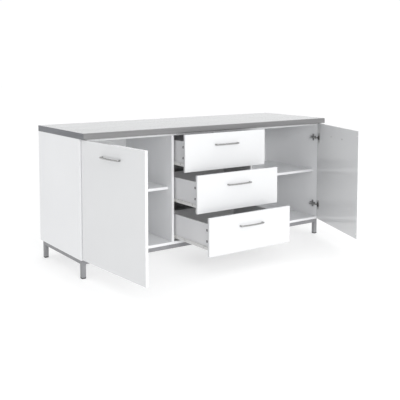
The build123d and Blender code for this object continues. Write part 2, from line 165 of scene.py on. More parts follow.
class ShaderPad(NodePad):
    """One material's node tree, with short ways to add the nodes that every finish uses."""

    def __init__(self, name: str) -> None:
        """Starts a tree that holds a Principled shader and its output.

        Args:
            name: The material's name.
        """
        self.material = bpy.data.materials.new(name)
        self.material.use_nodes = True
        super().__init__(self.material.node_tree)
        self.shader = self.node("ShaderNodeBsdfPrincipled")
        self.node("ShaderNodeOutputMaterial", {"Surface": self.shader.outputs["BSDF"]})

    def fix(self, **numbers: float | tuple[float, ...]) -> None:
        """Sets constants on the shader's own sockets, named with _ for a space."""
        for key, value in numbers.items():
            self.shader.inputs[key.replace("_", " ")].default_value = value

    def place(self, scale: Triple = (1.0, 1.0, 1.0), turn: float = 0.0) -> Socket:
        """The surface's own place, stretched and turned about the upright axis.

        Args:
            scale: How tightly a pattern repeats along each axis, per metre.
            turn: The angle that turns the pattern back, in radians.

        Returns:
            The vector socket that textures read.
        """
        where = self.node("ShaderNodeTexCoord").outputs["Object"]
        if turn:
            where = self.node("ShaderNodeMapping", {"Vector": where, "Rotation": (0.0, 0.0, turn)}).outputs[0]
        return self.node("ShaderNodeMapping", {"Vector": where, "Scale": scale}).outputs[0]

    def texture(self, kind: str, where: Socket, **values: float) -> Node:
        """Adds a texture, such as Noise, that reads a vector."""
        return self.node(f"ShaderNodeTex{kind}", {"Vector": where, **values})

    def noise(self, where: Socket, scale: float, detail: float = 3.0, rough: float = 0.5) -> Socket:
        """A noise of a scale, with finer layers of a number and a strength."""
        return self.texture("Noise", where, Scale=scale, Detail=detail, Roughness=rough).outputs[0]

    def span(self, value: Socket, low: float, high: float, source: Span = (0.3, 0.7)) -> Socket:
        """Maps a pattern to a range of numbers.

        Args:
            value: The pattern.
            low: The result at the start of the source range.
            high: The result at its end.
            source: The part of the pattern's own range that counts.

        Returns:
            The result's socket.
        """
        values = {"Value": value, "From Min": source[0], "From Max": source[1], "To Min": low, "To Max": high}
        return self.node("ShaderNodeMapRange", values, clamp=True).outputs["Result"]

    def tones(self, value: Socket, *stops: tuple[float, Triple]) -> Socket:
        """Colours a pattern.

        Args:
            value: The pattern.
            *stops: Places along the pattern's range and the colour at each.

        Returns:
            The colour socket.
        """
        ramp = self.node("ShaderNodeValToRGB", {"Fac": value})
        elements = ramp.color_ramp.elements
        while len(elements) < len(stops):
            elements.new(0.5)
        for element, (position, colour) in zip(elements, stops):
            element.position = position
            element.color = (*colour, 1.0)
        return ramp.outputs["Color"]

    def blend(self, share: Socket, first: Socket, second: Socket) -> Socket:
        """Mixes two colours, with the second showing by its share."""
        return self.node("ShaderNodeMix", {"Factor": share, 6: first, 7: second}, data_type="RGBA").outputs[2]

    def relief(self, height: Socket, depth: float, under: Socket | None = None) -> Socket:
        """Raises the surface where a pattern is high.

        Args:
            height: The pattern.
            depth: How far its whole range raises the surface, in metres.
            under: A relief that this one adds to.

        Returns:
            The bent normal's socket.
        """
        node = self.node("ShaderNodeBump", {"Strength": 1.0, "Distance": depth, "Height": height})
        if under is not None:
            self.join(under, node.inputs["Normal"])
        return node.outputs["Normal"]

    def finish(self, colour: Socket, roughness: Socket, normal: Socket) -> None:
        """Joins a finish's three patterns to the shader."""
        for key, pattern in (("Base Color", colour), ("Roughness", roughness), ("Normal", normal)):
            self.join(pattern, self.shader.inputs[key])


# ---- finishes ----
@dataclass(frozen=True)
class Finish:
    """What every finish has: a name, its two tones and how rough it is.

    Attributes:
        name: The material's name.
        light: The lighter tone.
        dark: The darker tone.
        rough: The lowest and the highest roughness.
    """

    name: str
    light: Triple
    dark: Triple
    rough: Span

    def wire(self, pad: ShaderPad) -> None:
        """Adds this finish's own nodes to the pad."""
        raise NotImplementedError

    def tone(self, pad: ShaderPad, pattern: Socket, low: float, high: float, turned: bool = False) -> Socket:
        """Colours a pattern with the finish's two tones.

        Args:
            pad: The material's tree.
            pattern: The pattern.
            low: Where the first tone ends.
            high: Where the second tone begins.
            turned: Whether the lighter tone comes first.

        Returns:
            The colour socket.
        """
        first, second = (self.light, self.dark) if turned else (self.dark, self.light)
        return pad.tones(pattern, (low, first), (high, second))

    def material(self) -> Material:
        """Builds the material.

        Returns:
            The new material.
        """
        pad = ShaderPad(self.name)
        self.wire(pad)
        return pad.material


@dataclass(frozen=True)
class BoardFinish(Finish):
    """A melamine or lacquer face on chipboard.

    Attributes:
        coat: How much clear coat lies on it.
        pearl: How many pearls of the press plate there are per metre.
        depth: How deep those pearls are.
        wave: How deep the board's slow waviness is.
    """

    coat: float = 0.0
    pearl: float = 140.0
    depth: float = 0.000005
    wave: float = 0.00004

    def wire(self, pad: ShaderPad) -> None:
        """A slow drift of tone, rubbed and dusty patches, fine pearls and a slow wave.

        Args:
            pad: The material's tree.
        """
        where = pad.place()
        drift = pad.noise(where, 2.3, 4.0, 0.55)
        dust = pad.noise(where, 46.0, 6.0, 0.62)
        share = pad.span(dust, 0.0, 0.25, (0.4, 0.75))
        colour = pad.blend(share, self.tone(pad, drift, 0.32, 0.66), self.tone(pad, drift, 0.3, 0.7, True))
        slow = pad.relief(pad.noise(where, 7.0, 1.0), self.wave)
        fine = pad.relief(pad.noise(where, self.pearl, 2.0, 0.6), self.depth, slow)
        pad.fix(IOR=1.5, Coat_Weight=self.coat, Coat_Roughness=0.06)
        pad.finish(colour, pad.span(dust, *self.rough), fine)


@dataclass(frozen=True)
class StoneFinish(Finish):
    """Stone-look laminate whose veins run one way.

    Attributes:
        vein: How tightly the pattern repeats along each axis.
        coat: How much clear overlay lies on it.
        fleck: The tone of its small dark flecks.
    """

    vein: Triple = (3.0, 120.0, 120.0)
    coat: float = 0.7
    fleck: Triple = (0.12, 0.12, 0.125)

    def wire(self, pad: ShaderPad) -> None:
        """Long veins over slow clouds, with flecks, under a satin overlay.

        Args:
            pad: The material's tree.
        """
        where, along = pad.place(), pad.place(self.vein)
        veins = pad.noise(along, 1.0, 7.0, 0.62)
        hair = pad.noise(along, 5.5, 3.0, 0.7)
        cloud = pad.noise(where, 3.6, 5.0, 0.6)
        middle = tuple(0.5 * (a + b) for a, b in zip(self.light, self.dark))
        tone = pad.tones(veins, (0.3, self.dark), (0.48, middle), (0.56, self.light), (0.72, middle))
        shade = pad.tones(cloud, (0.35, middle), (0.65, self.light))
        veined = pad.blend(pad.span(hair, 0.0, 0.45), tone, shade)
        fleck = pad.texture("Voronoi", where, Scale=420.0).outputs["Distance"]
        dark = pad.tones(cloud, (0.0, self.fleck), (1.0, self.dark))
        colour = pad.blend(pad.span(fleck, 0.55, 0.0, (0.1, 0.34)), veined, dark)
        grooves = pad.relief(hair, 0.00003)
        pad.fix(IOR=1.55, Coat_Weight=self.coat, Coat_Roughness=0.1)
        pad.finish(colour, pad.span(veins, *self.rough), pad.relief(cloud, 0.0001, grooves))


@dataclass(frozen=True)
class PowderFinish(Finish):
    """A powder coat with a fine texture and a little metal in it.

    Attributes:
        metal: How metallic it is.
        grain: How many grains of powder there are per metre.
        depth: How deep the texture is.
    """

    metal: float = 0.0
    grain: float = 1500.0
    depth: float = 0.00004

    def wire(self, pad: ShaderPad) -> None:
        """Fine texture, tiny flakes that differ in tone, and rubbed patches.

        Args:
            pad: The material's tree.
        """
        where = pad.place()
        texture = pad.noise(where, self.grain, 3.0, 0.6)
        rubbed = pad.noise(where, 14.0, 6.0, 0.65)
        cells = pad.texture("Voronoi", where, Scale=1.6 * self.grain).outputs["Color"]
        tone, spark = self.tone(pad, rubbed, 0.3, 0.68), self.tone(pad, texture, 0.3, 0.75, True)
        colour = pad.blend(pad.span(cells, 0.0, 0.5, (0.2, 0.9)), tone, spark)
        pad.fix(IOR=1.5, Metallic=self.metal)
        pad.finish(colour, pad.span(rubbed, *self.rough), pad.relief(texture, self.depth))


@dataclass(frozen=True)
class BrushedFinish(Finish):
    """Satin nickel with fine brush lines.

    Attributes:
        turn: Which way the lines run, as an angle from X about the upright axis.
    """

    turn: float = 0.0

    def wire(self, pad: ShaderPad) -> None:
        """Brush lines along the piece, with faint handling marks over them.

        Args:
            pad: The material's tree.
        """
        lines = pad.noise(pad.place((9.0, 900.0, 900.0), -self.turn), 1.0, 4.0, 0.6)
        marks = pad.noise(pad.place(), 38.0, 5.0, 0.6)
        tone, worn = self.tone(pad, lines, 0.3, 0.7), self.tone(pad, marks, 0.3, 0.7, True)
        pad.fix(Metallic=1.0)
        colour = pad.blend(pad.span(marks, 0.0, 0.4), tone, worn)
        pad.finish(colour, pad.span(lines, *self.rough), pad.relief(lines, 0.000012))


@dataclass(frozen=True)
class PlatedFinish(Finish):
    """Nickel-plated pressed steel, a little smudged."""

    def wire(self, pad: ShaderPad) -> None:
        """Smudges in tone and roughness over a faint press texture.

        Args:
            pad: The material's tree.
        """
        where = pad.place()
        smudge = pad.noise(where, 130.0, 5.0, 0.6)
        press = pad.relief(pad.noise(where, 900.0), 0.00001)
        pad.fix(Metallic=1.0)
        pad.finish(self.tone(pad, smudge, 0.32, 0.66), pad.span(smudge, *self.rough), press)


@dataclass(frozen=True)
class MouldedFinish(Finish):
    """Moulded plastic."""

    def wire(self, pad: ShaderPad) -> None:
        """Spark-eroded texture with slow flow marks.

        Args:
            pad: The material's tree.
        """
        where = pad.place()
        erosion = pad.relief(pad.noise(where, 1900.0, 2.0, 0.6), 0.00002)
        flow = pad.noise(where, 60.0, 4.0, 0.55)
        pad.fix(IOR=1.46)
        pad.finish(self.tone(pad, flow, 0.32, 0.68), pad.span(flow, *self.rough), erosion)


@dataclass(frozen=True)
class HardboardFinish(Finish):
    """A printed hardboard face, through which the pressed fibres show a little."""

    def wire(self, pad: ShaderPad) -> None:
        """Fibres at two scales, in tone and relief.

        Args:
            pad: The material's tree.
        """
        where = pad.place()
        fibres = pad.texture("Noise", where, Scale=320.0, Detail=5.0, Distortion=2.4).outputs[0]
        drift = pad.noise(where, 3.0, 4.0, 0.6)
        tone, under = self.tone(pad, drift, 0.3, 0.7), self.tone(pad, fibres, 0.35, 0.65)
        colour = pad.blend(pad.span(fibres, 0.0, 0.5), tone, under)
        pad.finish(colour, pad.span(drift, *self.rough), pad.relief(fibres, 0.00003))


def finishes() -> dict[Slot, Finish]:
    """The finish of each slot.

    Returns:
        The finishes, by slot.
    """
    worktop = StoneFinish("worktop_stone", (0.182, 0.182, 0.184), (0.136, 0.136, 0.139), (0.14, 0.26))
    edging = StoneFinish("edging_stone", (0.135, 0.142, 0.157), (0.07, 0.075, 0.085), (0.36, 0.48))
    frame = PowderFinish("frame_powder", (0.3, 0.3, 0.31), (0.22, 0.22, 0.23), (0.38, 0.5), metal=0.35)
    runner = PowderFinish("runner_epoxy", (0.74, 0.74, 0.73), (0.66, 0.66, 0.65), (0.3, 0.42), depth=0.00002)
    front = BoardFinish("front_gloss", (0.685, 0.69, 0.698), (0.665, 0.67, 0.678), (0.07, 0.15), coat=0.6)
    base = HardboardFinish("drawer_base_print", (0.54, 0.54, 0.545), (0.46, 0.46, 0.465), (0.4, 0.55))
    box = BoardFinish("drawer_box_foil", (0.72, 0.72, 0.73), (0.69, 0.69, 0.70), (0.36, 0.48))
    return {
        Slot.WORKTOP: worktop,
        Slot.EDGING: replace(edging, vein=(70.0, 3.0, 70.0), coat=0.15),
        Slot.FRAME: frame,
        Slot.FOOT: MouldedFinish("black_plastic", (0.035, 0.035, 0.037), (0.02, 0.02, 0.021), (0.42, 0.58)),
        Slot.HANDLE: BrushedFinish("handle_nickel", (0.46, 0.458, 0.45), (0.27, 0.27, 0.267), (0.14, 0.26)),
        Slot.HINGE: PlatedFinish("hinge_nickel", (0.5, 0.5, 0.495), (0.3, 0.3, 0.3), (0.22, 0.4)),
        Slot.ROLLER: MouldedFinish("nylon", (0.78, 0.78, 0.75), (0.68, 0.68, 0.65), (0.34, 0.48)),
        Slot.RUNNER: runner,
        Slot.BASE: base,
        Slot.BACK: HardboardFinish("back_print", (0.9, 0.905, 0.91), (0.87, 0.875, 0.88), (0.4, 0.52)),
        Slot.BOX: replace(box, pearl=900.0, depth=0.00002),
        Slot.FRONT: replace(front, depth=0.000012),
        Slot.CARCASS: BoardFinish("carcass_melamine", (0.79, 0.795, 0.806), (0.765, 0.77, 0.78), (0.3, 0.34)),
    }


@dataclass
class FinishShelf:
    """Every finish of the sideboard, made into a material when it is first asked for."""

    finishes: dict[Slot, Finish] = field(default_factory=finishes)
    made: dict[str, Material] = field(default_factory=dict)

    def of(self, wanted: Slot | Finish) -> Material:
        """The material of a slot or of a finish, made once.

        Args:
            wanted: The slot or the finish.

        Returns:
            Its material.
        """
        finish = self.finishes[wanted] if isinstance(wanted, Slot) else wanted
        if finish.name not in self.made:
            self.made[finish.name] = finish.material()
        return self.made[finish.name]


# ---- geometry node trees ----
class GeometryTree(NodePad):
    """A geometry node group with named inputs that ends in plain geometry with its material."""

    def __init__(self, name: str, **inputs: str) -> None:
        """Starts a group.

        Args:
            name: The group's name.
            **inputs: The kinds of its own inputs, by name. A finish and a seed are always there.
        """
        super().__init__(bpy.data.node_groups.new(name, "GeometryNodeTree"))
        self.named("Geometry", "Geometry", "OUTPUT")
        for key, kind in {"Geometry": "Geometry", **inputs, "Finish": "Material", "Seed": "Int"}.items():
            self.named(key, kind)
        self.given = self.node("NodeGroupInput").outputs

    def named(self, name: str, kind: str, way: str = "INPUT") -> None:
        """Adds a socket to the group's own interface."""
        self.tree.interface.new_socket(name=name, in_out=way, socket_type=f"NodeSocket{kind}")

    def end(self, geometry: Socket) -> None:
        """Realizes the geometry, sets its material and gives it out.

        Args:
            geometry: What the group has made.
        """
        plain = self.node("GeometryNodeRealizeInstances", {"Geometry": geometry}).outputs[0]
        painted = self.node("GeometryNodeSetMaterial", {"Geometry": plain, "Material": self.given["Finish"]})
        self.node("NodeGroupOutput", {"Geometry": painted.outputs[0]})

    def baked(self, name: str, start: Mesh, values: dict[str, Any]) -> Mesh:
        """Runs the group on a mesh and returns the result as a plain mesh.

        Args:
            name: The result's name.
            start: The mesh that the group starts from.
            values: The group's inputs, by name.

        Returns:
            The plain mesh.
        """
        holder = bpy.data.objects.new(f"{name}_holder", start)
        bpy.context.scene.collection.objects.link(holder)
        modifier = holder.modifiers.new("tree", "NODES")
        modifier.node_group = self.tree
        for item in self.tree.interface.items_tree:
            if item.in_out == "INPUT" and item.name in values:
                modifier[item.identifier] = values[item.name]
        bpy.context.view_layer.update()
        graph = bpy.context.evaluated_depsgraph_get()
        mesh = bpy.data.meshes.new_from_object(holder.evaluated_get(graph), depsgraph=graph)
        mesh.name = name
        holder.modifiers.remove(modifier)
        bpy.data.objects.remove(holder)
        return mesh


@dataclass(frozen=True)
class Spot:
    """A place for a fastener: its seat, and the way that its head points."""

    seat: Sequence[float]
    axis: Sequence[float]


class FastenerTree(GeometryTree):
    """Sets one kind of head on every spot, turned about its own axis by a random angle."""

    AXIS = "spot_axis"

    def __init__(self) -> None:
        """Builds the group: align, size, turn, realize and set the material."""
        super().__init__("fastener_heads", Head="Object", Size="Float")
        given = self.given
        head = self.node("GeometryNodeObjectInfo", {"Object": given["Head"]})
        axis = self.node("GeometryNodeInputNamedAttribute", {"Name": self.AXIS}, data_type="FLOAT_VECTOR")
        values = {"Vector": axis.outputs["Attribute"]}
        align = self.node("FunctionNodeAlignRotationToVector", values, axis="Z")
        values = {"Points": given["Geometry"], "Instance": head.outputs["Geometry"]}
        values |= {"Rotation": align.outputs["Rotation"], "Scale": given["Size"]}
        spread = self.node("GeometryNodeInstanceOnPoints", values)
        values = {"Min": (0.0, 0.0, 0.0), "Max": (0.0, 0.0, math.tau), "Seed": given["Seed"]}
        angle = self.node("FunctionNodeRandomValue", values, data_type="FLOAT_VECTOR")
        values = {"Instances": spread.outputs["Instances"], "Rotation": angle.outputs["Value"]}
        self.end(self.node("GeometryNodeRotateInstances", values).outputs["Instances"])

    def heads(self, name: str, spots: Sequence[Spot], values: dict[str, Any]) -> Mesh:
        """One mesh with a head on every spot.

        Args:
            name: The mesh's name.
            spots: Where the heads go.
            values: The head, its finish, its size and the seed of its random turns.

        Returns:
            The mesh.
        """
        points = bpy.data.meshes.new(f"{name}_spots")
        points.from_pydata([tuple(spot.seat) for spot in spots], [], [])
        axes = points.attributes.new(self.AXIS, "FLOAT_VECTOR", "POINT")
        axes.data.foreach_set("vector", [number for spot in spots for number in spot.axis])
        return self.baked(name, points, values)


class WeldTree(GeometryTree):
    """Lays a rippled bead of weld along every open line of a mesh."""

    RIPPLE = 0.0016
    SWELL = {2: 0.72, 3: 1.0}

    def __init__(self) -> None:
        """Builds the group: curve, resample, swell, sweep, realize and set the material."""
        super().__init__("weld_beads", Bead="Float", Ripple="Float")
        given = self.given
        curve = self.node("GeometryNodeMeshToCurve", {"Mesh": given["Geometry"]}).outputs["Curve"]
        values = {"Curve": curve, "Length": given["Ripple"]}
        steps = self.node("GeometryNodeResampleCurve", values, mode="LENGTH")
        swell = self.node("FunctionNodeRandomValue", {**self.SWELL, "Seed": given["Seed"]}, data_type="FLOAT")
        values = {"Curve": steps.outputs["Curve"], "Radius": swell.outputs[1]}
        thick = self.node("GeometryNodeSetCurveRadius", values)
        ring = self.node("GeometryNodeCurvePrimitiveCircle", {"Resolution": 7, "Radius": given["Bead"]})
        values = {"Curve": thick.outputs["Curve"], "Profile Curve": ring.outputs["Curve"], "Fill Caps": True}
        values["Scale"] = self.node("GeometryNodeInputRadius").outputs["Radius"]
        sweep = self.node("GeometryNodeCurveToMesh", values)
        smooth = self.node("GeometryNodeSetShadeSmooth", {"Geometry": sweep.outputs["Mesh"]})
        self.end(smooth.outputs["Geometry"])

    def beads(self, name: str, lines: Sequence[Sequence[Vector]], finish: Material, bead: float) -> Mesh:
        """One mesh with a bead along each line.

        Args:
            name: The mesh's name.
            lines: The lines, each as its corners.
            finish: The beads' material.
            bead: A bead's radius.

        Returns:
            The mesh.
        """
        points: list[Vector] = []
        edges: list[tuple[int, int]] = []
        for line in lines:
            first = len(points)
            points += line
            edges += [(first + i, first + i + 1) for i in range(len(line) - 1)]
        start = bpy.data.meshes.new(f"{name}_lines")
        start.from_pydata([tuple(point) for point in points], edges, [])
        return self.baked(name, start, {"Bead": bead, "Ripple": self.RIPPLE, "Finish": finish, "Seed": 4})


# ---- shapes of the small parts ----
@dataclass(frozen=True)
class HeadShape:
    """A turned or pressed head of diameter 1, with its seat at the origin.

    Attributes:
        outline: The radius and height of each ring, from the seat to where the middle begins.
        recess: The half width, half length and depth of its cross, where it has one.
    """

    outline: tuple[Span, ...]
    recess: Triple | None = None


class HeadKind(Enum):
    """The shapes of fastener head that the sideboard has."""

    CROSS = HeadShape(
        ((0.44, -0.02), (0.49, 0.04), (0.5, 0.12), (0.44, 0.24), (0.32, 0.31)), (0.05, 0.24, 0.2)
    )
    FLAT = HeadShape(((0.46, -0.02), (0.5, 0.03), (0.48, 0.08), (0.36, 0.11)), (0.05, 0.24, 0.1))
    CAM = HeadShape(((0.5, -0.02), (0.5, 0.045), (0.46, 0.06), (0.43, 0.03)), (0.06, 0.3, 0.12))
    CAP = HeadShape(((0.5, -0.01), (0.5, 0.03), (0.47, 0.055), (0.3, 0.07)))
    BUFFER = HeadShape(((0.46, -0.01), (0.5, 0.03), (0.45, 0.1), (0.28, 0.15)))


@dataclass(frozen=True)
class Fastener:
    """One kind of small part: its head, its diameter and the slot for its finish."""

    kind: HeadKind
    size: float
    slot: Slot = Slot.HINGE


@dataclass
class HeadSet:
    """The head shapes, each made once and kept out of the scene.

    Attributes:
        sides: How many sides each head has.
        taper: How much smaller a cross is at its bottom.
    """

    sides: int = 12
    taper: float = 0.7
    made: dict[HeadKind, Object] = field(default_factory=dict)

    def ring(self, shape: bmesh.types.BMesh, radius: float, height: float) -> Ring:
        """Adds a ring of points of a radius at a height."""
        angles = [math.tau * (step + 0.5) / self.sides for step in range(self.sides)]
        return [shape.verts.new((radius * math.cos(a), radius * math.sin(a), height)) for a in angles]

    def cross(self, shape: bmesh.types.BMesh, half: float, reach: float, height: float) -> Ring:
        """Adds the twelve points of a cross.

        Args:
            shape: The mesh that is being made.
            half: Half an arm's width.
            reach: How far an arm reaches from the middle.
            height: The height of the points.

        Returns:
            The points, in order round the cross.
        """
        points = []
        for quarter in range(4):
            turn = Matrix.Rotation(quarter * math.pi / 2, 2)
            points += [turn @ Vector(point) for point in ((reach, half), (half, half), (half, reach))]
        return [shape.verts.new((*point, height)) for point in points]

    def wall(self, shape: bmesh.types.BMesh, first: Ring, second: Ring) -> None:
        """Joins two rings with faces."""
        for i, j in zip(range(len(first)), [*range(1, len(first)), 0]):
            shape.faces.new((first[i], first[j], second[j], second[i]))

    def shape(self, kind: HeadKind) -> Object:
        """The shape of one kind of head.

        Args:
            kind: Which head.

        Returns:
            An object that the fastener tree can instance.
        """
        if kind in self.made:
            return self.made[kind]
        shape = bmesh.new()
        rings = [self.ring(shape, radius, height) for radius, height in kind.value.outline]
        shape.faces.new(reversed(rings[0]))
        if kind.value.recess:
            half, reach, depth = kind.value.recess
            height = kind.value.outline[-1][1]
            rings.append(self.cross(shape, half, reach, height))
            rings.append(self.cross(shape, self.taper * half, self.taper * reach, height - depth))
        for low, high in zip(rings, rings[1:]):
            self.wall(shape, low, high)
        shape.faces.new(rings[-1])
        bmesh.ops.recalc_face_normals(shape, faces=shape.faces)
        mesh = bpy.data.meshes.new(f"head_{kind.name.lower()}")
        shape.to_mesh(mesh)
        shape.free()
        self.made[kind] = bpy.data.objects.new(mesh.name, mesh)
        return self.made[kind]

    def clear(self) -> None:
        """Removes the head shapes once every fastener is made."""
        for head in self.made.values():
            bpy.data.objects.remove(head)
        self.made.clear()


# ---- the workbench ----
@dataclass
class Workbench:
    """What every sub-assembly works with: the frame, the finishes, the trees and the heads."""

    frame: dict[str, Any]
    shelf: FinishShelf = field(default_factory=FinishShelf)
    fasteners: FastenerTree = field(default_factory=FastenerTree)
    welds: WeldTree = field(default_factory=WeldTree)
    heads: HeadSet = field(default_factory=HeadSet)

    def dress(self, finish: Slot | Finish, *nodes: str) -> None:
        """Gives CAD nodes a material.

        Args:
            finish: What they are made of.
            *nodes: The nodes' names.
        """
        material = self.shelf.of(finish)
        for name in nodes:
            mesh = self.frame["nodes"][name].data
            if not mesh.materials:
                mesh.materials.append(material)
            for index in range(len(mesh.materials)):
                mesh.materials[index] = material
            LOG.info("dressed %s in %s", name, material.name)

    def fit(self, mesh: Mesh, body: str, slot: Slot) -> None:
        """Adds a finished mesh to the scene as a piece that rides on a body.

        Args:
            mesh: The mesh, in place and with its material. The piece takes its name.
            body: The CAD body that it moves with.
            slot: The record's slot for its finish. It is not used.
        """
        piece = bpy.data.objects.new(mesh.name, mesh)
        bpy.context.scene.collection.objects.link(piece)
        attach(piece, body)
        LOG.info("fitted %s on %s, %d faces", piece.name, body, len(mesh.polygons))

    def fasten(self, name: str, body: str, spots: Sequence[Spot], fastener: Fastener) -> None:
        """Sets a row of heads on a body.

        Args:
            name: The piece's name.
            body: The CAD body that the heads move with.
            spots: Where they sit.
            fastener: Their kind, size and slot.
        """
        values = {"Head": self.heads.shape(fastener.kind), "Finish": self.shelf.of(fastener.slot)}
        values |= {"Size": fastener.size, "Seed": len(name)}
        self.fit(self.fasteners.heads(name, spots, values), body, fastener.slot)


# ---- the sub-assemblies ----
@dataclass
class Assembly:
    """What every sub-assembly has: the workbench, and a way to build it."""

    bench: Workbench

    def build(self) -> None:
        """Dresses the nodes and adds the small parts."""
        raise NotImplementedError


@dataclass
class Worktop(Assembly):
    """The stone-look slab and the strips on its ends."""

    def build(self) -> None:
        """Dresses the slab and its strips."""
        self.bench.dress(Slot.WORKTOP, "worktop")
        self.bench.dress(Slot.EDGING, "worktop_edging")


@dataclass
class Carcass(Assembly):
    """The fixed boards, with the screws and caps that hold them together.

    Attributes:
        cap: A cam cover.
        cap_inset: How far a cam stands from the joint that it pulls.
        cap_rows: How far cams stand from the front and from the back.
        nail: A back nail.
        nails: How many nails hold the back to each upright.
        nail_inset: How far the end nails stand from the back's edges.
        top_screw: A screw into the worktop.
        top_shares: Where those screws stand, as shares of half the length.
        top_rows: How far they stand from the front and from the back.
    """

    cap: Fastener = Fastener(HeadKind.CAP, 0.017, Slot.CARCASS)
    cap_inset: float = 0.034
    cap_rows: Span = (0.06, 0.07)
    nail: Fastener = Fastener(HeadKind.FLAT, 0.006)
    nails: int = 6
    nail_inset: float = 0.04
    top_screw: Fastener = Fastener(HeadKind.CROSS, 0.009)
    top_shares: tuple[float, ...] = (-0.86, -0.45, 0.0, 0.45, 0.86)
    top_rows: Span = (0.075, 0.09)

    def rows(self, low: Vector, high: Vector) -> Span:
        """Where the front and the back row of cams stand on a board."""
        return low.y + self.cap_rows[0], high.y - self.cap_rows[1]

    def caps(self) -> list[Spot]:
        """The cam covers: on the cupboard faces of the dividers and under the bottom board.

        Returns:
            Their spots.
        """
        spots = []
        inset = self.cap_inset
        for side in Side:
            low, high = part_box(f"divider_{side.word}")
            face = high.x if side is Side.RIGHT else low.x
            heights = (low.z + inset, high.z - inset)
            spots += [Spot((face, y, z), side.outwards) for y in self.rows(low, high) for z in heights]
        low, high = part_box("bottom_panel")
        ends = (low.x + 1.6 * inset, high.x - 1.6 * inset)
        return spots + [Spot((x, y, low.z), DOWN) for x in ends for y in self.rows(low, high)]

    def back_nails(self) -> list[Spot]:
        """The nails through the back into the dividers.

        Returns:
            Their spots.
        """
        low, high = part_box("back_panel")
        first, run = low.z + self.nail_inset, high.z - low.z - 2 * self.nail_inset
        spots = []
        for side in Side:
            left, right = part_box(f"divider_{side.word}")
            x = (left.x + right.x) / 2
            heights = [first + run * step / (self.nails - 1) for step in range(self.nails)]
            spots += [Spot((x, high.y, z), REAR) for z in heights]
        return spots

    def top_screws(self) -> list[Spot]:
        """The screws up through the top board into the worktop.

        Returns:
            Their spots.
        """
        low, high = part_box("top_panel")
        rows = (low.y + self.top_rows[0], high.y - self.top_rows[1])
        return [Spot((share * high.x, y, low.z), DOWN) for share in self.top_shares for y in rows]

    def build(self) -> None:
        """Dresses the boards and sets their fasteners."""
        bench = self.bench
        uprights = [f"{kind}_{side.word}" for side in Side for kind in ("end_panel", "divider")]
        bench.dress(Slot.CARCASS, *uprights, "top_panel", "bottom_panel", "shelf_left", "shelf_right")
        bench.dress(Slot.BACK, "back_panel")
        bench.dress(Slot.HINGE, "shelf_pins")
        bench.fasten("carcass_cam_caps", FIXED, self.caps(), self.cap)
        bench.fasten("back_panel_nails", FIXED, self.back_nails(), self.nail)
        bench.fasten("worktop_screws", FIXED, self.top_screws(), self.top_screw)


@dataclass
class BaseFrame(Assembly):
    """The welded frame of square tube, its feet and the screws that hold the carcass on it.

    Attributes:
        bead: The radius of a weld bead.
        sink: How far a bead's middle lies inside the corner that it fills.
        corner: How far a bead cuts across a tube's lower corners.
        stop: How far below the carcass a bead ends.
        screw: A frame screw.
        shares: Where the screws stand, as shares of half a rail's length.
    """

    bead: float = 0.0014
    sink: float = 0.0006
    corner: float = 0.0022
    stop: float = 0.003
    screw: Fastener = Fastener(HeadKind.CROSS, 0.011)
    shares: tuple[float, ...] = (-0.92, -0.34, 0.34, 0.92)

    def seam(self, rail: str, axis: int, at_high: bool) -> list[Vector]:
        """The line of a rail's end against its leg: down one side, along below and up the other.

        Args:
            rail: The rail's name.
            axis: The axis that the rail runs along, 0 for X and 1 for Y.
            at_high: Whether this is the rail's end with the higher coordinate.

        Returns:
            The line's corners.
        """
        low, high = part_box(rail)
        across, top, sink, corner = 1 - axis, high.z - self.stop, self.sink, self.corner
        left, right = low[across], high[across]
        path = [(left + sink, top), (left + sink, low.z + corner), (left + corner, low.z + sink)]
        path += [(right - corner, low.z + sink), (right - sink, low.z + corner), (right - sink, top)]
        line = []
        for side, z in path:
            point = Vector((0.0, 0.0, z))
            point[axis], point[across] = (high if at_high else low)[axis], side
            line.append(point)
        return line

    def screws(self) -> list[Spot]:
        """The screws up through the long rails.

        Returns:
            Their spots.
        """
        spots = []
        for rail in ("rail_front", "rail_rear"):
            low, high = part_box(rail)
            spots += [Spot((share * high.x, (low.y + high.y) / 2, low.z), DOWN) for share in self.shares]
        return spots

    def build(self) -> None:
        """Dresses the tubes and feet, then adds beads and screws."""
        bench = self.bench
        rails = {"rail_front": 0, "rail_rear": 0, "rail_left": 1, "rail_right": 1}
        legs = [f"leg_{end}_{side.word}" for side in Side for end in ("front", "rear")]
        bench.dress(Slot.FRAME, *legs, *rails)
        bench.dress(Slot.FOOT, "foot_plugs")
        seams = [self.seam(rail, axis, end) for rail, axis in rails.items() for end in (False, True)]
        mesh = bench.welds.beads("frame_welds", seams, bench.shelf.of(Slot.FRAME), self.bead)
        bench.fit(mesh, FIXED, Slot.FRAME)
        bench.fasten("frame_screws", FIXED, self.screws(), self.screw)


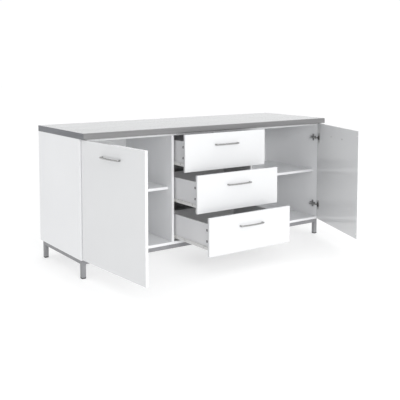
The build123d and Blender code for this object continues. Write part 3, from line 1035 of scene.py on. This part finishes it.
@dataclass
class Hinges(Assembly):
    """The arms and plates on the end panels, with their screws.

    Attributes:
        wing: A plate's height across its wings.
        wing_t: How thick a wing is.
        pitch: The height between a plate's two screws.
        screw: A plate screw.
        arm_screw: The screw that sets an arm.
        arm_row: How far an arm's screw stands behind the arm's front end.
    """

    wing: float = 0.046
    wing_t: float = 0.0016
    pitch: float = 0.032
    screw: Fastener = Fastener(HeadKind.CROSS, 0.0075)
    arm_screw: Fastener = Fastener(HeadKind.FLAT, 0.0068)
    arm_row: float = 0.02

    def heights(self) -> Span:
        """The heights of the lower and the upper hinge."""
        low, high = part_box("hinge_plates")
        return low.z + self.wing / 2, high.z - self.wing / 2

    def plate_screws(self) -> list[Spot]:
        """Two screws on each plate's wings.

        Returns:
            Their spots.
        """
        low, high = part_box("hinge_plates")
        x, y, half = high.x - self.wing_t, (low.y + high.y) / 2, self.pitch / 2
        heights = [middle + way * half for middle in self.heights() for way in (-1, 1)]
        return [Spot((side.value * x, y, z), side.inwards) for side in Side for z in heights]

    def arm_screws(self) -> list[Spot]:
        """The one big screw that fixes each arm to its plate.

        Returns:
            Their spots.
        """
        low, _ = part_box("hinge_arms")
        y, mesh = low.y + self.arm_row, self.bench.frame["nodes"]["hinge_arms"].data
        flat = min(abs(vertex.co.x) for vertex in mesh.vertices)
        return [Spot((side.value * flat, y, z), side.inwards) for side in Side for z in self.heights()]

    def build(self) -> None:
        """Dresses the plates, arms and links, then adds the screws."""
        links = [f"hinge_links_{side.word}" for side in Side]
        self.bench.dress(Slot.HINGE, "hinge_plates", "hinge_arms", *links)
        self.bench.fasten("hinge_plate_screws", FIXED, self.plate_screws(), self.screw)
        self.bench.fasten("hinge_arm_screws", FIXED, self.arm_screws(), self.arm_screw)


@dataclass(frozen=True)
class HandleFixing:
    """How a handle is screwed on from inside: the length between its two screws, and the screw."""

    pitch: float = 0.16
    screw: Fastener = Fastener(HeadKind.CROSS, 0.009)

    def lengths(self, middle: float) -> Span:
        """Where the two screws stand, either side of the handle's middle."""
        return middle - self.pitch / 2, middle + self.pitch / 2


@dataclass
class Door(Assembly):
    """A door with its handle, cups and small parts.

    Its small parts are placed by three lengths: along, from the hinge edge towards the free
    edge; rise, from the floor; and in, from the door's outer face towards its inner face.

    Attributes:
        side: Which end it hangs on.
        angles: How far each door stands open at rest, in degrees.
        width: The door's width.
        thick: The door's thickness.
        pivot: The hinge axis, as lengths along and in.
        cup_row: Where the cup screws stand, along the door.
        cup_pitch: The height between a cup's two screws.
        cup_reach: Half a cup's height over its flange.
        flange: How thick a cup's flange is.
        cup_screw: A cup screw.
        fixing: How the handle is fixed.
        buffer: A soft buffer.
        buffer_insets: How far a buffer stands from the free edge and from the ends.
    """

    side: Side
    angles: Span = (86.0, 69.0)
    width: float = 0.597
    thick: float = 0.016
    pivot: Span = (0.0115, 0.0107)
    cup_row: float = 0.0255
    cup_pitch: float = 0.052
    cup_reach: float = 0.032
    flange: float = 0.001
    cup_screw: Fastener = Fastener(HeadKind.CROSS, 0.0078)
    fixing: HandleFixing = HandleFixing()
    buffer: Fastener = Fastener(HeadKind.BUFFER, 0.009, Slot.ROLLER)
    buffer_insets: Span = (0.012, 0.03)

    @property
    def body(self) -> str:
        """The CAD body that the door is."""
        return f"door_{self.side.word}"

    @property
    def turn(self) -> float:
        """How far the door has turned from closed, in radians."""
        return self.side.value * math.radians(self.angles[self.side is Side.RIGHT])

    def spot(self, along: float, rise: float, inwards: float) -> Spot:
        """A spot on the door's inner side.

        Args:
            along: The length from the hinge edge.
            rise: The height from the floor.
            inwards: The length from the outer face.

        Returns:
            The spot, pointing away from the inner face.
        """
        joint = next(j for j in self.bench.frame["joints"] if j["name"] == f"{self.body}_swing")
        turn = Matrix.Rotation(self.turn, 3, "Z")
        shift = Vector((-self.side.value * (along - self.pivot[0]), inwards - self.pivot[1], 0))
        seat = Vector(joint["pos_m"]) + turn @ shift
        seat.z = rise
        return Spot(seat, turn @ Vector(REAR))

    def cup_screws(self) -> list[Spot]:
        """Two screws on each cup's flange.

        Returns:
            Their spots.
        """
        low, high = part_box(f"{self.body}_hinge_cups")
        middles, half = (low.z + self.cup_reach, high.z - self.cup_reach), self.cup_pitch / 2
        rises = [middle + way * half for middle in middles for way in (-1, 1)]
        return [self.spot(self.cup_row, rise, self.thick + self.flange) for rise in rises]

    def handle_screws(self) -> list[Spot]:
        """The two screws that hold the handle from inside."""
        low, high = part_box(f"{self.body}_handle")
        return [self.spot(x, (low.z + high.z) / 2, self.thick) for x in self.fixing.lengths(self.width / 2)]

    def buffers(self) -> list[Spot]:
        """The soft buffers in the free corners.

        Returns:
            Their spots.
        """
        low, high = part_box(f"{self.body}_panel")
        edge, end = self.buffer_insets
        return [self.spot(self.width - edge, rise, self.thick) for rise in (low.z + end, high.z - end)]

    def build(self) -> None:
        """Dresses the door and adds its small parts. The handle's brush lines follow its turn."""
        bench, body = self.bench, self.body
        name = f"handle_nickel_{self.side.word}"
        nickel = replace(bench.shelf.finishes[Slot.HANDLE], name=name, turn=self.turn)
        bench.dress(Slot.FRONT, f"{body}_panel")
        bench.dress(nickel, f"{body}_handle")
        bench.dress(Slot.HINGE, f"{body}_hinge_cups")
        bench.fasten(f"{body}_cup_screws", body, self.cup_screws(), self.cup_screw)
        bench.fasten(f"{body}_handle_screws", body, self.handle_screws(), self.fixing.screw)
        bench.fasten(f"{body}_buffers", body, self.buffers(), self.buffer)


@dataclass(frozen=True)
class RunnerFixing:
    """How a runner is screwed on.

    Attributes:
        rows: Where its screws stand, from its front end.
        web: How thick its steel is.
        rise: How far above the drawer box's lower edge the screws stand.
        screw: One of the screws.
    """

    rows: Triple
    web: float = 0.0012
    rise: float = 0.0095
    screw: Fastener = Fastener(HeadKind.FLAT, 0.0075)


@dataclass
class Drawer(Assembly):
    """A drawer with its box, handle, runners and small parts.

    Attributes:
        tier: Which drawer it is.
        cam: A cam that pulls the front onto a side.
        cam_row: How far the cams stand behind the front.
        cam_rises: Their heights above the sides' lower edge.
        back_row: How far the screws into the box's back stand from its rear face.
        back_rises: Their heights above the sides' lower edge.
        runner: How the runners are fixed.
        fixing: How the handle is fixed.
    """

    tier: Tier
    cam: Fastener = Fastener(HeadKind.CAM, 0.0145, Slot.FOOT)
    cam_row: float = 0.032
    cam_rises: Span = (0.048, 0.112)
    back_row: float = 0.006
    back_rises: Span = (0.045, 0.11)
    runner: RunnerFixing = RunnerFixing((0.06, 0.25, 0.42))
    fixing: HandleFixing = HandleFixing()

    @property
    def body(self) -> str:
        """The CAD body that the drawer is."""
        return f"drawer_{self.tier.value}"

    def face(self, side: Side) -> tuple[float, Vector]:
        """Where a side board's outer face lies, and the board's lowest corner."""
        low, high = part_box(f"{self.body}_side_{side.word}")
        return (high.x if side is Side.RIGHT else low.x), low

    def cams(self) -> list[Spot]:
        """The dark cams near the front end of each side board.

        Returns:
            Their spots.
        """
        spots = []
        for side in Side:
            x, low = self.face(side)
            spots += [Spot((x, low.y + self.cam_row, low.z + rise), side.outwards) for rise in self.cam_rises]
        return spots

    def screws(self) -> list[Spot]:
        """The screws into the box's back and through the runners.

        Returns:
            Their spots.
        """
        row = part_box(f"{self.body}_back")[1].y - self.back_row
        spots = []
        for side in Side:
            x, low = self.face(side)
            spots += [Spot((x, row, low.z + rise), side.outwards) for rise in self.back_rises]
            web, height = x + side.value * self.runner.web, low.z + self.runner.rise
            spots += [Spot((web, low.y + y, height), side.outwards) for y in self.runner.rows]
        return spots

    def handle_screws(self) -> list[Spot]:
        """The two screws that hold the handle from inside.

        Returns:
            Their spots.
        """
        low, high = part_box(f"{self.body}_handle")
        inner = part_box(f"{self.body}_front")[1].y
        return [Spot((x, inner, (low.z + high.z) / 2), REAR) for x in self.fixing.lengths(0.0)]

    def build(self) -> None:
        """Dresses the drawer and adds its small parts."""
        bench, body = self.bench, self.body
        boards = [f"{body}_side_left", f"{body}_side_right", f"{body}_back"]
        bench.dress(Slot.FRONT, f"{body}_front")
        bench.dress(Slot.BOX, *boards)
        bench.dress(Slot.BASE, f"{body}_bottom")
        bench.dress(Slot.HANDLE, f"{body}_handle")
        bench.dress(Slot.RUNNER, f"{body}_runners")
        bench.dress(Slot.ROLLER, f"{body}_rollers", f"cabinet_rollers_{self.tier.value}")
        bench.fasten(f"{body}_cams", body, self.cams(), self.cam)
        bench.fasten(f"{body}_screws", body, self.screws(), self.runner.screw)
        bench.fasten(f"{body}_handle_screws", body, self.handle_screws(), self.fixing.screw)


@dataclass
class CabinetRunners(Assembly):
    """The runners in the drawer bay and their screws.

    Attributes:
        runner: How the runners are fixed.
    """

    runner: RunnerFixing = RunnerFixing((0.06, 0.25, 0.45))

    def screws(self) -> list[Spot]:
        """Three screws on each runner's web.

        Returns:
            Their spots.
        """
        low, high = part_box("cabinet_runners")
        x, rise = high.x - self.runner.web, self.runner.rise
        heights = [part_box(f"drawer_{tier.value}_side_left")[0].z + rise for tier in Tier]
        places = [(low.y + row, height) for height in heights for row in self.runner.rows]
        return [Spot((side.value * x, *place), side.inwards) for side in Side for place in places]

    def build(self) -> None:
        """Dresses the runners and adds their screws."""
        self.bench.dress(Slot.RUNNER, "cabinet_runners")
        self.bench.fasten("cabinet_runner_screws", FIXED, self.screws(), self.runner.screw)


# ---- the studio ----
@dataclass(frozen=True)
class Softbox:
    """A square light.

    Attributes:
        name: Its name.
        place: Where it hangs.
        aim: What it points at.
        size: Its width and height.
        power: Its power in watts.
    """

    name: str
    place: Triple
    aim: Triple
    size: Span
    power: float

    def hang(self) -> None:
        """Adds the light."""
        light = bpy.data.lights.new(self.name, "AREA")
        light.shape = "RECTANGLE"
        light.size, light.size_y = self.size
        light.energy = self.power
        lamp = bpy.data.objects.new(self.name, light)
        lamp.location = self.place
        lamp.rotation_euler = (Vector(self.aim) - Vector(self.place)).to_track_quat("-Z", "Y").to_euler()
        bpy.context.scene.collection.objects.link(lamp)


@dataclass
class Studio:
    """A pale floor, a bright horizon, soft lights and the camera.

    Attributes:
        floor_size: The floor's width and depth.
        floor_tones: The floor's darker and lighter grey.
        table: How strongly the floor, a lit shooting table, glows.
        horizon: The sky's strength near the horizon.
        zenith: Its strength overhead.
        fade: The heights between which the horizon fades, as sines of the angle.
        ceiling: How strongly a wide white ceiling lights everything from above.
        ceiling_spread: The angle that the ceiling fills, in degrees.
        light: The one softbox.
        camera_place: Where the camera stands.
        camera_yaw: How far it looks to the right of straight on, in degrees.
        camera_pitch: How far it looks down, in degrees.
        lens: Its focal length in millimetres.
        shift: Its upright shift, as a share of the picture.
    """

    floor_size: float = 60.0
    floor_tones: Span = (0.5, 0.52)
    table: float = 0.5
    horizon: float = 1.03
    zenith: float = 0.42
    fade: Span = (0.14, 0.36)
    ceiling: float = 1.55
    ceiling_spread: float = 120.0
    light: Softbox = Softbox("front_softbox", (-0.9, -4.8, 1.9), (0.0, 0.0, 0.5), (3.0, 1.9), 140.0)
    camera_place: Triple = (-2.5206, -3.3842, 1.1867)
    camera_yaw: float = 35.362
    camera_pitch: float = 4.781
    lens: float = 62.609
    shift: float = -0.2

    def floor(self) -> None:
        """Lays a wide floor."""
        shape = bmesh.new()
        bmesh.ops.create_grid(shape, x_segments=40, y_segments=40, size=self.floor_size / 2)
        mesh = bpy.data.meshes.new("studio_floor")
        shape.to_mesh(mesh)
        shape.free()
        pad = ShaderPad("pale_floor")
        where = pad.place()
        cloud = pad.noise(where, 1.4)
        dark, light = self.floor_tones
        tone = pad.tones(cloud, (0.3, (dark,) * 3), (0.7, (light,) * 3))
        pad.fix(Emission_Color=(1.0, 1.0, 1.0, 1.0), Emission_Strength=self.table)
        pad.finish(tone, pad.span(cloud, 0.6, 0.7), pad.relief(pad.noise(where, 60.0), 0.0001))
        mesh.materials.append(pad.material)
        floor = bpy.data.objects.new("studio_floor", mesh)
        bpy.context.scene.collection.objects.link(floor)

    def sky(self) -> None:
        """Lights the scene from all round, most of all near the horizon."""
        world = bpy.data.worlds.new("studio_sky")
        world.use_nodes = True
        pad = NodePad(world.node_tree)
        coords = pad.node("ShaderNodeTexCoord")
        height = pad.node("ShaderNodeSeparateXYZ", {"Vector": coords.outputs["Generated"]}).outputs["Z"]
        values = {"Value": height, "From Min": self.fade[0], "From Max": self.fade[1]}
        values |= {"To Min": self.horizon, "To Max": self.zenith}
        fade = pad.node("ShaderNodeMapRange", values, interpolation_type="SMOOTHSTEP")
        values = {"Color": (0.985, 0.993, 1.0, 1.0), "Strength": fade.outputs["Result"]}
        light = pad.node("ShaderNodeBackground", values)
        pad.node("ShaderNodeOutputWorld", {"Surface": light.outputs["Background"]})
        bpy.context.scene.world = world

    def ceiling_light(self) -> None:
        """Adds the even light of a white ceiling as a very wide sun straight overhead."""
        light = bpy.data.lights.new("ceiling", "SUN")
        light.energy = self.ceiling
        light.angle = math.radians(self.ceiling_spread)
        bpy.context.scene.collection.objects.link(bpy.data.objects.new("ceiling", light))

    def camera(self) -> None:
        """Sets up the camera, level from side to side."""
        data = bpy.data.cameras.new("studio_camera")
        data.lens = self.lens
        data.sensor_width = 36.0
        data.shift_y = self.shift
        data.clip_end = 200.0
        camera = bpy.data.objects.new("studio_camera", data)
        camera.location = self.camera_place
        camera.rotation_euler = (math.radians(90.0 - self.camera_pitch), 0.0, -math.radians(self.camera_yaw))
        bpy.context.scene.collection.objects.link(camera)
        bpy.context.scene.camera = camera

    def build(self) -> None:
        """Sets up the whole studio."""
        self.floor()
        self.sky()
        self.camera()
        self.ceiling_light()
        self.light.hang()
        bpy.context.scene.view_settings.view_transform = "Standard"
        LOG.info("built the studio")


def main() -> None:
    """Builds the sideboard's looks in order."""
    logging.basicConfig(level=logging.INFO, format="%(message)s")
    bench = Workbench(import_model())
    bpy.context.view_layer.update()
    Studio().build()
    parts: list[Assembly] = [kind(bench) for kind in (Worktop, Carcass, BaseFrame, Hinges, CabinetRunners)]
    parts += [Door(bench, side) for side in Side]
    parts += [Drawer(bench, tier) for tier in Tier]
    for part in parts:
        part.build()
        LOG.info("built %s", type(part).__name__)
    bench.heads.clear()


if __name__ == "__main__":
    main()
